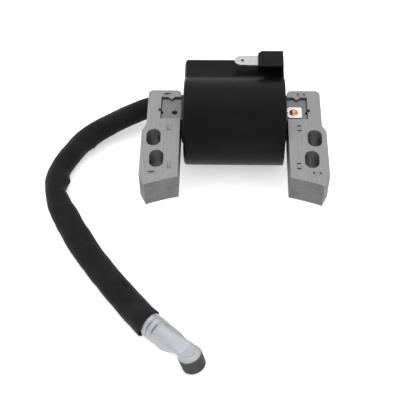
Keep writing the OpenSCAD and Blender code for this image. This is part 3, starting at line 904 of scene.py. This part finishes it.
# Cap: height and radius
CAP_PROFILE = [(0, 0), (0, CAP_R), (0.45, CAP_R), (0.75, 4.55), (1.25, 3.9), (1.6, 2.6), (1.75, 0)]
PLATEAU = (5.6, 5.6, 1.7)
TURNED_STEPS = 72
NECK_STEPS = 48
# Short crimp dents: distance along the barrel, angle round it (90 = top), depth
CRIMPS = [(1.6, 118, 0.55), (4.4, 116, 0.6)]


def terminal(finish):
    """Barrel, pressed neck and cap as one skin of plated sheet."""
    shape = bmesh.new()
    turned(shape, BARREL, "X", TURNED_STEPS)
    # pressed neck: rounded sections, bridged
    loops = []
    for u, half_w, top, under in BODY_SECTIONS:
        loop = bmesh.ops.create_circle(shape, segments=NECK_STEPS, radius=1)["verts"]
        high, low = (top - under) / 2, (top + under) / 2
        square = min(1.0, max(0.0, (u - 11) / 6))
        for v in loop:
            a = math.atan2(v.co.y, v.co.x)
            c, s = math.cos(a), math.sin(a)
            power = 1 - 0.45 * square
            y = half_w * math.copysign(abs(c) ** power, c)
            z = low + high * math.copysign(abs(s) ** power, s)
            v.co = (u, y, z)
        loops.append(list({e for v in loop for e in v.link_edges}))
    for a, b in zip(loops, loops[1:]):
        bmesh.ops.bridge_loops(shape, edges=a + b)
    for loop in (loops[0], loops[-1]):
        bmesh.ops.contextual_create(shape, geom=loop)
    # cap: a flange with a domed top, and the flat of the neck running out over it
    start = len(shape.verts)
    turned(shape, CAP_PROFILE, "Z", TURNED_STEPS)
    plateau = bmesh.ops.create_cube(shape, size=1)["verts"]
    bmesh.ops.scale(shape, verts=plateau, vec=PLATEAU)
    square_on = Matrix.Rotation(-TERMINAL_YAW, 3, "Z")
    bmesh.ops.rotate(shape, verts=plateau, cent=(0, 0, 0), matrix=square_on)
    bmesh.ops.translate(shape, verts=plateau, vec=(-0.3, 0, 1.2))
    edges = {e for v in plateau for e in v.link_edges}
    corners = [e for e in edges if abs(e.verts[0].co.z - e.verts[1].co.z) > 0.5]
    bmesh.ops.bevel(
        shape, geom=corners, offset=0.9, affect="EDGES", segments=4, profile=0.5, material=-1
    )
    shape.verts.ensure_lookup_table()
    cap = shape.verts[start:]
    tilt = Matrix.Translation(CAP_AT) @ Matrix.Rotation(CAP_TILT, 4, "Y")
    bmesh.ops.transform(shape, verts=cap, matrix=tilt)
    bmesh.ops.recalc_face_normals(shape, faces=shape.faces[:])
    made = piece("terminal_shell_pressed", shape, [finish], ["terminal_shell"])
    return one_skin(made)


def one_skin(made):
    """One eased skin over the terminal's overlapping bodies, crimped and carried to its place."""
    skin = made.modifiers.new("skin", "REMESH")
    skin.mode = "VOXEL"
    skin.voxel_size = 0.16
    ease = made.modifiers.new("ease", "SMOOTH")
    ease.factor = 0.5
    ease.iterations = 5
    bpy.context.view_layer.update()
    graph = bpy.context.evaluated_depsgraph_get()
    mesh = bpy.data.meshes.new_from_object(made.evaluated_get(graph))
    made.modifiers.clear()
    shape = bmesh.new()
    shape.from_mesh(mesh)
    for v in shape.verts:
        turn = math.degrees(math.atan2(v.co.z, v.co.y))
        for at, middle, depth in CRIMPS:
            sunk = depth * math.exp(-(((v.co.x - at) / 0.3) ** 2) - ((turn - middle) / 26) ** 4)
            v.co.y *= 1 - sunk / 5
            v.co.z *= 1 - sunk / 5
    to_terminal(shape)
    shape.to_mesh(made.data)
    shape.free()
    made.data.shade_smooth()
    return made


def insulator_ring(finish):
    """Moulded ring with fine ribs round its wall."""
    ribs = 44
    shape = bmesh.new()
    profile = [
        (-RING_H, RING_BORE + 0.25),
        (-RING_H, RING_R - 0.35),
        (-RING_H + 0.3, RING_R - 0.05),
        (-RING_H + 0.6, RING_R),
        (-0.9, RING_R),
        (-0.6, RING_R - 0.12),
        (-0.25, RING_R - 0.02),
        (-0.05, RING_R - 0.15),
        (-0.05, RING_BORE),
        (-RING_H + 0.25, RING_BORE),
    ]
    turned(shape, profile, "Z", ribs * 4)
    for v in shape.verts:
        radius = math.hypot(v.co.x, v.co.y)
        if radius > RING_R - 0.08 and -RING_H + 0.5 < v.co.z < -0.8:
            phase = (math.atan2(v.co.y, v.co.x) / (2 * math.pi) * ribs) % 1
            sunk = 0.36 if 0.3 < phase < 0.8 else 0.0
            v.co.x *= 1 - sunk / radius
            v.co.y *= 1 - sunk / radius
    tilt = Matrix.Translation(CAP_AT) @ Matrix.Rotation(CAP_TILT, 4, "Y")
    bmesh.ops.transform(shape, verts=shape.verts, matrix=tilt)
    to_terminal(shape)
    bmesh.ops.recalc_face_normals(shape, faces=shape.faces[:])
    return smooth(piece("insulator_ring_ribbed", shape, [finish], ["insulator_ring"]), 40)


# ---------- the room ----------


def make_room():
    shape = bmesh.new()
    bmesh.ops.create_grid(shape, x_segments=8, y_segments=8, size=3)
    mesh = bpy.data.meshes.new("floor")
    shape.to_mesh(mesh)
    shape.free()
    floor = bpy.data.objects.new("floor", mesh)
    floor.location.z = -0.02 * MM
    mesh.materials.append(floor_finish())
    bpy.context.scene.collection.objects.link(floor)
    world = bpy.data.worlds.new("studio")
    world.use_nodes = True
    world.node_tree.nodes["Background"].inputs["Color"].default_value = (1, 1, 1, 1)
    world.node_tree.nodes["Background"].inputs["Strength"].default_value = 1.25
    bpy.context.scene.world = world
    lights = [
        ("overhead", (-0.15, 0.45, 1.0), 1.3, 4.5),
        ("front_fill", (0.5, -0.9, 0.7), 0.7, 1.0),
    ]
    for name, place, size, power in lights:
        lamp = bpy.data.lights.new(name, "AREA")
        lamp.size = size
        lamp.energy = power
        made = bpy.data.objects.new(name, lamp)
        made.location = place
        made.rotation_mode = "QUATERNION"
        made.rotation_quaternion = Vector(place).to_track_quat("Z", "Y")
        bpy.context.scene.collection.objects.link(made)


# ---------- assembly ----------


def dress(names, material):
    for name in names:
        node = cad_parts[name]
        node.data.materials.clear()
        node.data.materials.append(material)


def build():
    make_camera()

    rubber = rubber_finish("lead_rubber", 0.012, 0.022, 0.5)
    copper = copper_finish()
    insulation_rows = smooth_route(LEAD_ROUTE + [terminal_point(-4, 0, 0), terminal_point(7.5, 0, 0)], 1.5)
    core_rows = smooth_route(LEAD_ROUTE + [terminal_point(-4, 0, 0), terminal_point(1, 0, 0)], 1.5)
    lead = cable("lead_cable", insulation_rows, LEAD_D, rubber, "lead_insulation")
    core = cable("lead_core", core_rows, CORE_D, copper, "lead_conductor")
    cloth = sleeve(sleeve_finish())

    plating = plate_finish("bright_plating", 0.36, 0.43, (0.98, 0.99, 1.06), 0.55)
    tin = plate_finish("tin_plate", 0.52, 0.6, (1, 1, 0.99), 0.45)
    shell = terminal(plating)
    ring = insulator_ring(rubber_finish("ring_moulding", 0.04, 0.065, 0.55))
    clip = softened("terminal_clip_soft", "terminal_clip", 0.06 * MM, tin)

    face = steel_face_finish("sheet_face", 0.18, 0.24, 0.27)
    # The edge greys sit well below the face greys: painted shade on the sides of the sheets.
    edge = steel_edge_finish("sheet_edge_painted_shade", 0.1, 0.18)
    bar_face = steel_face_finish("bar_sheet_face", 0.13, 0.17, 0.18)
    for side in (-1, 1):
        leg(side, face, edge)
    core_bar(bar_face, edge)

    housing(moulding_finish("housing_moulding", 0.002, 0.004, 0.36, specular=0.08))
    softened("potting_surface", "potting_fill", 0.2 * MM, resin_finish())
    bobbin = moulding_finish("bobbin_moulding", 0.02, 0.03, 0.5)
    softened("primary_bobbin_moulded", "primary_bobbin", 0.12 * MM, bobbin)
    stop_blade(plate_finish("blade_plate", 0.34, 0.42, (1, 1, 1.02), 0.48))
    softened("ground_tab_plate", "ground_tab", 0.1 * MM, tin)
    softened("ground_rivet_headed", "ground_rivet", 0.1 * MM, copper)
    softened("lead_grommet", "lead_seal", 0.3 * MM, rubber)

    pale = moulding_finish("pale_moulding", 0.5, 0.6, 0.45, specular=0.5)
    dress(["secondary_bobbin", "resistor_one", "resistor_two"], pale)
    dress(["secondary_winding"], winding_finish("secondary_wire", 0.12))
    dress(["primary_winding", "trigger_coil"], winding_finish("primary_wire", 0.5))
    dress(["primary_wrap"], tape_finish())
    dress(["module_board"], board_finish())
    dress(["module_transistor"], moulding_finish("transistor_case", 0.02, 0.03, 0.4))
    dress(["trigger_core"], bar_face)
    dress(["stop_wire", "switch_wire", "ground_wire", "output_wire", "ht_contact_pin"], copper)
    dress(["terminal_pin"], tin)
    make_room()


build()
bpy.context.scene.view_settings.view_transform = "Standard"
